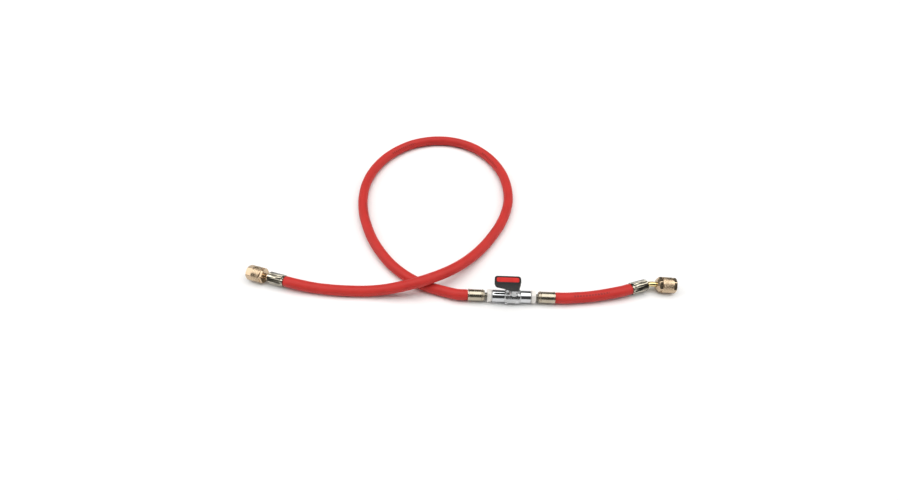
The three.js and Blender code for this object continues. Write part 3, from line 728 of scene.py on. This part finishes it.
def bent_stem(material):
    ring = NECK_RADIUS + STEM_RING_HEIGHT
    outline = softened(tail_rows(CRIMPED_SLEEVE - TAIL_ROOT_DEPTH) + [
        (CRIMPED_SLEEVE + 0.3, NECK_RADIUS), (CRIMPED_SLEEVE + 0.3, ring),
        (CRIMPED_SLEEVE + 1.2, ring), (CRIMPED_SLEEVE + 1.4, NECK_RADIUS),
    ] + shoulder_rows(RIGHT_NUT_STATION), 0.2)
    rows = []
    for here, after in zip(outline, outline[1:] + outline[:1]):
        rows.append(here)
        gap = after[0] - here[0]
        pieces = int(abs(gap) // 1.0)
        for k in range(1, pieces):
            t = k / pieces
            rows.append((here[0] + gap * t, here[1] + (after[1] - here[1]) * t))
    vertices, faces, uvs = shell(rows, 64, lambda s: RIGHT @ bent_line(s))
    piece = finish_mesh("bent_stem_turned", vertices, faces, [material], uvs)
    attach(piece, "root")
    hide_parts("bent_stem")
    return piece


def hex_nipple(name, place, material, neck_material):
    end = SMOOTH_SLEEVE
    hex_start = end + NIPPLE_NECK
    hex_end = hex_start + HEX_WIDTH
    thread_end = hex_end + NIPPLE_THREAD
    corner = HEX_ACROSS / 2 / math.cos(math.pi / 6)
    flats = hex_limit(HEX_ACROSS, math.radians(30))

    def chamfered(limit):
        return lambda angle: min(limit, flats(angle))

    neck_start = end - TAIL_ROOT_DEPTH
    rows = tail_rows(neck_start)[:-1]
    rows += [(neck_start, NIPPLE_NECK_RADIUS), (hex_start, NIPPLE_NECK_RADIUS), (hex_start, 6.6)]
    # The hex's corners are turned off at both ends
    rows += [(hex_start + 0.2 * k, chamfered(6.8 + 0.33 * k)) for k in range(5)]
    rows += [(hex_end - 0.8, chamfered(corner)), (hex_end - 0.4, chamfered(7.5))]
    rows += [(hex_end, chamfered(6.9)), (hex_end, NIPPLE_CREST)]
    quarters = NIPPLE_TURNS * 4
    for k in range(quarters + 1):
        height = NIPPLE_CREST if k % 4 in (1, 2) else NIPPLE_ROOT
        rows.append((hex_end + 0.5 + k * (NIPPLE_THREADED / quarters), height))
    rows += [(thread_end, 4.5), (thread_end, PASSAGE_RADIUS)]
    vertices, faces, uvs = shell(rows, FINE_COLUMNS, straight(place))
    piece = finish_mesh(name + "_finished", vertices, faces, [material, neck_material], uvs, 24)
    # Faces before the hex, the tail and the neck, take the second material: painted shade in the gap.
    for i, (station, radius) in enumerate(rows):
        if station < hex_start and not callable(radius):
            for face in piece.data.polygons[i * FINE_COLUMNS:(i + 1) * FINE_COLUMNS]:
                face.material_index = 1
    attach(piece, "root")
    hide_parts(name)


# Swivel nuts

def swivel_nut(name, place, body, material, length, front, back, across, cone, corner_turn):
    """Diamond knurl round the middle, hex flats cut into both ends, a threaded mouth."""
    flats = hex_limit(across, corner_turn)

    def cut(limit):
        return lambda angle: min(limit, flats(angle))

    band_start, band_end = back + 0.35, length - front - 0.35
    pitch = 2 * math.pi * NUT_RADIUS / KNURL_TEETH
    pieces = max(4, round((band_end - band_start) / (pitch / 4)))

    def knurled(x, fade):
        def wave(value):
            return 1 - abs(2 * (value % 1.0) - 1)

        def radius(angle):
            u = KNURL_TEETH * angle / (2 * math.pi)
            w = (x - band_start) / pitch
            return NUT_RADIUS - KNURL_DEPTH * (1 - fade * min(wave(u + w), wave(u - w)))
        return radius

    hole = NECK_RADIUS + 0.4
    cone_end = 0.8 * cone + 0.2
    rows = [(0, hole), (0, cut(NUT_RADIUS - 0.8 - cone))]
    if cone:
        rows += [(cone_end * k / 3, cut(NUT_RADIUS - 0.8 - cone * (1 - k / 3))) for k in (1, 2)]
    rows += [(cone_end, cut(NUT_RADIUS - 0.8)), (cone_end + 0.8, cut(NUT_RADIUS - 0.1))]
    if back > cone_end + 1.2:
        rows.append((back - 0.2, cut(NUT_RADIUS - 0.1)))
    rows += [(back, cut(NUT_RADIUS - 0.2)), (back, NUT_RADIUS - 0.45), (back + 0.15, NUT_RADIUS - 0.15)]
    for k in range(pieces + 1):
        x = band_start + (band_end - band_start) * k / pieces
        fade = min(1.0, k / 2, (pieces - k) / 2)
        rows.append((x, knurled(x, fade)))
    rows += [(length - front - 0.15, NUT_RADIUS - 0.15), (length - front, NUT_RADIUS - 0.45)]
    rows += [(length - front, cut(NUT_RADIUS - 0.2)), (length - 0.8, cut(NUT_RADIUS - 0.1))]
    rows += [(length - 0.35, cut(NUT_RADIUS - 0.45)), (length, cut(NUT_RADIUS - 1.0))]
    rows += [(length, NUT_BORE + 0.7)]
    thread_start = NUT_BACK_WALL + SHOULDER_ROOM
    quarters = NUT_TURNS * 4
    for k in range(quarters + 1):
        groove = NUT_BORE + (NUT_THREAD_DEPTH if k % 4 in (1, 2) else 0.0)
        rows.append((length - 0.7 - (length - 0.7 - thread_start) * k / quarters, groove))
    rows += [(NUT_BACK_WALL, NUT_BORE), (NUT_BACK_WALL, hole)]
    vertices, faces, uvs = shell(rows, NUT_COLUMNS, straight(place))
    piece = finish_mesh(name + "_knurled", vertices, faces, [material], uvs, 28)
    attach(piece, body)
    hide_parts(name)
    return piece


# Valve

def rounded_blank(name, shells, voxel, smoothing):
    """Fuse overlapping shells into one cast skin with soft inner corners."""
    blank = finish_mesh(name, *join_shells(shells)[:2], [])
    remesh = blank.modifiers.new("fuse", "REMESH")
    remesh.mode = "VOXEL"
    remesh.voxel_size = voxel
    smooth = blank.modifiers.new("soften", "SMOOTH")
    smooth.iterations = smoothing
    smooth.factor = 0.5
    graph = bpy.context.evaluated_depsgraph_get()
    mesh = bpy.data.meshes.new_from_object(blank.evaluated_get(graph))
    bpy.data.objects.remove(blank)
    return mesh


def valve_body(finishes):
    along = straight(Matrix.Translation((0, 0, VALVE_HEIGHT)))
    upward = Matrix.Rotation(-math.pi / 2, 4, "Y")

    def pad(limit_low, limit_high, radius):
        """A round cut off level below and above."""
        def shaped(angle):
            up = math.cos(angle)
            if up < 0:
                return min(radius, limit_low / -up) if up < -1e-6 else radius
            return min(radius, limit_high / up) if up > 1e-6 else radius
        return shaped

    bore, foot = BODY_BORE, VALVE_HEIGHT - 0.05
    barrel = shell([(-13, bore), (-13, 6.9), (9, 6.9), (9, bore)], 64, along)
    belly = shell([
        (-10.6, bore), (-10.6, 6.8), (-9.4, pad(foot, 7.4, 7.9)), (-8.2, pad(foot, 7.6, CAST_RADIUS)),
        (6.2, pad(foot, 7.6, CAST_RADIUS)), (7.4, pad(foot, 7.4, 7.9)), (8.6, 6.9), (8.6, bore),
    ], 96, along)
    boss = shell([
        (12.6, 2.6), (12.6, 5.2), (CAST_TOP, 5.2), (16.6, 4.45), (BOSS_TOP - 0.3, BOSS_RADIUS),
        (BOSS_TOP, 4.0), (BOSS_TOP, 3.3), (15.3, 3.3), (15.3, 2.6),
    ], 64, straight(upward))
    lug_place = Matrix.Translation((-LUG_OFFSET, 0, LUG_HEIGHT)) @ Matrix.Rotation(-math.pi / 2, 4, "Z")
    lug = shell([
        (6.2, 0.05), (6.2, 1.9), (8.0, LUG_RADIUS), (8.6, LUG_RADIUS),
        (LUG_REACH, 1.2), (LUG_REACH, 0.05),
    ], 32, straight(lug_place))
    cast = rounded_blank("cast_blank", [barrel, belly, boss, lug], CAST_VOXEL, CAST_SMOOTHING)
    inlet = shell(softened([
        (-BODY_INLET_REACH, bore), (-BODY_INLET_REACH, 6.6), (-BODY_INLET_REACH + 0.6, BARREL_RADIUS),
        (-10.2, BARREL_RADIUS), (-9.8, 6.7), (-9.8, bore),
    ], 0.15), FINE_COLUMNS, along)
    outlet = shell(softened([
        (7.6, bore), (7.6, 6.7), (8.0, BARREL_RADIUS), (BODY_OUTLET_REACH - 0.6, BARREL_RADIUS),
        (BODY_OUTLET_REACH, 6.6), (BODY_OUTLET_REACH, bore),
    ], 0.15), FINE_COLUMNS, along)
    web = shell([(6.2, 2.8), (6.2, 5.6), (10.2, 5.6), (10.2, 2.8)], 48, along)
    vertices, faces, uvs = join_shells([inlet, outlet, web])
    skins = [finishes["chrome"], finishes["cast"]]
    piece = finish_mesh("valve_body_finished", vertices, faces, skins, uvs)
    joined = bmesh.new()
    joined.from_mesh(piece.data)
    before = len(joined.faces)
    joined.from_mesh(cast)
    joined.faces.ensure_lookup_table()
    for face in joined.faces[before:]:
        face.material_index = 1
        face.smooth = True
    joined.to_mesh(piece.data)
    joined.free()
    piece.data.update()
    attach(piece, "root")
    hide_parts("valve_body")


def rounded_ring(z, x, half_width, corner, far_corner=None, per_corner=8):
    """Points of a round-cornered rectangle at one height, in order round it.

    The corners at its low X end have a radius of their own where far_corner gives one."""
    near = min(corner, half_width, (x[1] - x[0]) / 2)
    far = near if far_corner is None else far_corner
    corners = [
        (x[1] - near, half_width - near, near, 0), (x[0] + far, half_width - far, far, 90),
        (x[0] + far, -half_width + far, far, 180), (x[1] - near, -half_width + near, near, 270),
    ]
    points = []
    for cx, cy, radius, start in corners:
        for k in range(per_corner + 1):
            angle = math.radians(start + 90 * k / per_corner)
            points.append(Vector((cx + radius * math.cos(angle), cy + radius * math.sin(angle), z)))
    return points


def lofted(name, rings, material, closed, sharp=32):
    """Skin the rings in order; a closed list of rings joins its last ring to its first."""
    columns = len(rings[0])
    vertices = [point for ring in rings for point in ring]
    faces = []
    spans = len(rings) if closed else len(rings) - 1
    for i in range(spans):
        after = (i + 1) % len(rings)
        for j in range(columns):
            k = (j + 1) % columns
            faces.append((i * columns + j, i * columns + k, after * columns + k, after * columns + j))
    if not closed:
        faces.append(tuple(reversed(range(columns))))
        last = (len(rings) - 1) * columns
        faces.append(tuple(range(last, last + columns)))
    return finish_mesh(name, vertices, faces, [material], None, sharp)


def lever(material):
    half = LEVER_HALF_WIDTH

    def outer(z, arm, heel, inset, corner, far_corner=None):
        return rounded_ring(z, (-arm + inset, heel - inset), half - inset, corner - inset, far_corner)

    def hole(z, radius):
        return rounded_ring(z, (-radius, radius), radius, radius)

    socket, screw_head, screw_shank = 2.0, 2.8, 1.2
    ceiling = DRIVE_TOP + FIT
    top, bottom = LEVER_TOP, LEVER_BOTTOM
    pocket_floor, screw_seat = top - 1.3, top - 3.9
    pocket_margin = INSERT_MARGIN + 0.15
    rings = [
        hole(ceiling, screw_shank),
        rounded_ring(ceiling, (-socket, socket), socket, 0.3),
        rounded_ring(bottom, (-socket, socket), socket, 0.3),
        outer(bottom, 5.9, 5.3, 0.5, 3.6),
        outer(bottom + 0.2, 6.2, 5.5, 0.15, 3.6),
        outer(bottom + 0.6, 6.6, 5.52, 0.0, 3.6),
        outer(24.6, 7.5, 5.56, 0.0, 3.5, 2.6),
        outer(25.4, 8.4, 5.6, 0.0, 3.5, 1.8),
        outer(26.2, 9.3, 5.65, 0.0, 3.4, 1.2),
        outer(26.9, 10.3, 5.7, 0.0, 3.4, 0.8),
        outer(27.5, 11.8, 5.73, 0.0, LEVER_CORNER, 0.6),
        outer(28.3, 14.8, 5.8, 0.0, LEVER_CORNER, 0.5),
        outer(29.1, 18.0, 5.85, 0.0, LEVER_CORNER, 0.5),
        outer(29.8, 20.3, 5.9, 0.0, LEVER_CORNER, 0.8),
        outer(30.4, 21.6, 5.94, 0.0, LEVER_CORNER, 1.8),
        outer(31.1, 22.4, 5.98, 0.0, LEVER_CORNER, 2.6),
        outer(32.0, 22.85, LEVER_HEEL, 0.0, LEVER_CORNER, 3.1),
        outer(33.4, LEVER_ARM, LEVER_HEEL, 0.0, LEVER_CORNER, LEVER_CORNER),
        outer(top - 0.7, LEVER_ARM, LEVER_HEEL, 0.0, LEVER_CORNER),
        outer(top - 0.3, LEVER_ARM, LEVER_HEEL, 0.12, LEVER_CORNER),
        outer(top - 0.08, LEVER_ARM, LEVER_HEEL, 0.35, LEVER_CORNER),
        outer(top, LEVER_ARM, LEVER_HEEL, 0.65, LEVER_CORNER),
        outer(top, LEVER_ARM, LEVER_HEEL, INSERT_MARGIN, LEVER_CORNER),
        outer(top - 0.12, LEVER_ARM, LEVER_HEEL, pocket_margin, LEVER_CORNER),
        outer(pocket_floor, LEVER_ARM, LEVER_HEEL, pocket_margin, LEVER_CORNER),
        hole(pocket_floor, screw_head),
        hole(screw_seat, screw_head),
        hole(screw_seat, screw_shank),
    ]
    piece = lofted("lever_moulded", rings, material, True)
    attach(piece, "handle")
    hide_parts("lever")


def lever_insert(material):
    margin = INSERT_MARGIN + FIT + 0.1
    x = (-LEVER_ARM + margin, LEVER_HEEL - margin)
    half = LEVER_HALF_WIDTH - margin

    def ring(z, inset):
        return rounded_ring(z, (x[0] + inset, x[1] - inset), half - inset, 2.1 - inset)

    rings = [
        ring(37.0, 0.2), ring(37.15, 0.0), ring(37.7, 0.0), ring(37.9, 0.08), ring(37.97, 0.25),
        ring(37.97, 0.6), ring(37.88, 0.85), ring(37.86, 1.3), ring(37.88, 1.9),
    ]
    piece = lofted("lever_insert_moulded", rings, material, False, 40)
    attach(piece, "handle")
    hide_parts("lever_insert")


# Build everything

finishes = make_finishes()
add_camera()

inlet_start = Vector((INLET_MOUTH - FIT, 0, VALVE_HEIGHT))
long_points = [inlet_start, inlet_start - Vector((STRAIGHT_END, 0, 0))]
long_points += lying(LONG_HOSE_POINTS) + end_points(LEFT_END, LEFT_TURN)
outlet_start = Vector((OUTLET_MOUTH + FIT, 0, VALVE_HEIGHT))
short_points = [outlet_start, outlet_start + Vector((STRAIGHT_END, 0, 0))]
short_points += lying(SHORT_HOSE_POINTS) + end_points(RIGHT_END, RIGHT_TURN)

long_hose, long_line, long_length = hose_piece(
    "main_hose_cover", "main_hose", long_points, finishes["hose"])
short_hose, short_line, short_length = hose_piece(
    "short_hose_cover", "short_hose", short_points, finishes["hose"], SHORT_HOSE_DASH_TURN)

left_ferrule = crimped_sleeve("left_ferrule", LEFT, finishes["dark"], -CRIMP_TURN)
right_ferrule = crimped_sleeve("right_ferrule", RIGHT, finishes["dark"], CRIMP_TURN)
stem_left = left_stem(finishes["nut"])
stem_right = bent_stem(finishes["brass"])
left_nut = swivel_nut(
    "left_nut", LEFT_NUT, "left_swivel", finishes["nut"],
    length=LEFT_NUT_LENGTH, front=7.0, back=2.8, across=15.8, cone=0.0, corner_turn=0.0)
right_nut = swivel_nut(
    "right_nut", RIGHT_NUT, "right_swivel", finishes["nut"],
    length=RIGHT_NUT_LENGTH, front=3.4, back=5.6, across=16.0, cone=2.6,
    corner_turn=math.radians(15))

smooth_sleeve("inlet_ferrule", INLET, finishes["pale"])
smooth_sleeve("outlet_ferrule", OUTLET, finishes["pale"])
hex_nipple("inlet_nipple", INLET, finishes["white"], finishes["neck"])
hex_nipple("outlet_nipple", OUTLET, finishes["white"], finishes["neck"])
valve_body(finishes)
lever(finishes["lever"])
lever_insert(finishes["insert"])

CARRIED_OVER = {
    "outlet_seat": "seat", "inlet_seat": "seat", "stem_packing": "seat",
    "seat_retainer": "brass", "packing_nut": "brass", "core_depressor": "brass",
    "ball": "chrome", "valve_stem": "steel", "lever_screw": "steel",
    "left_gasket": "seal", "right_gasket": "seal",
}
for node, finish in CARRIED_OVER.items():
    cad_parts[node].data.materials.clear()
    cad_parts[node].data.materials.append(finishes[finish])

add_studio()
add_floor()
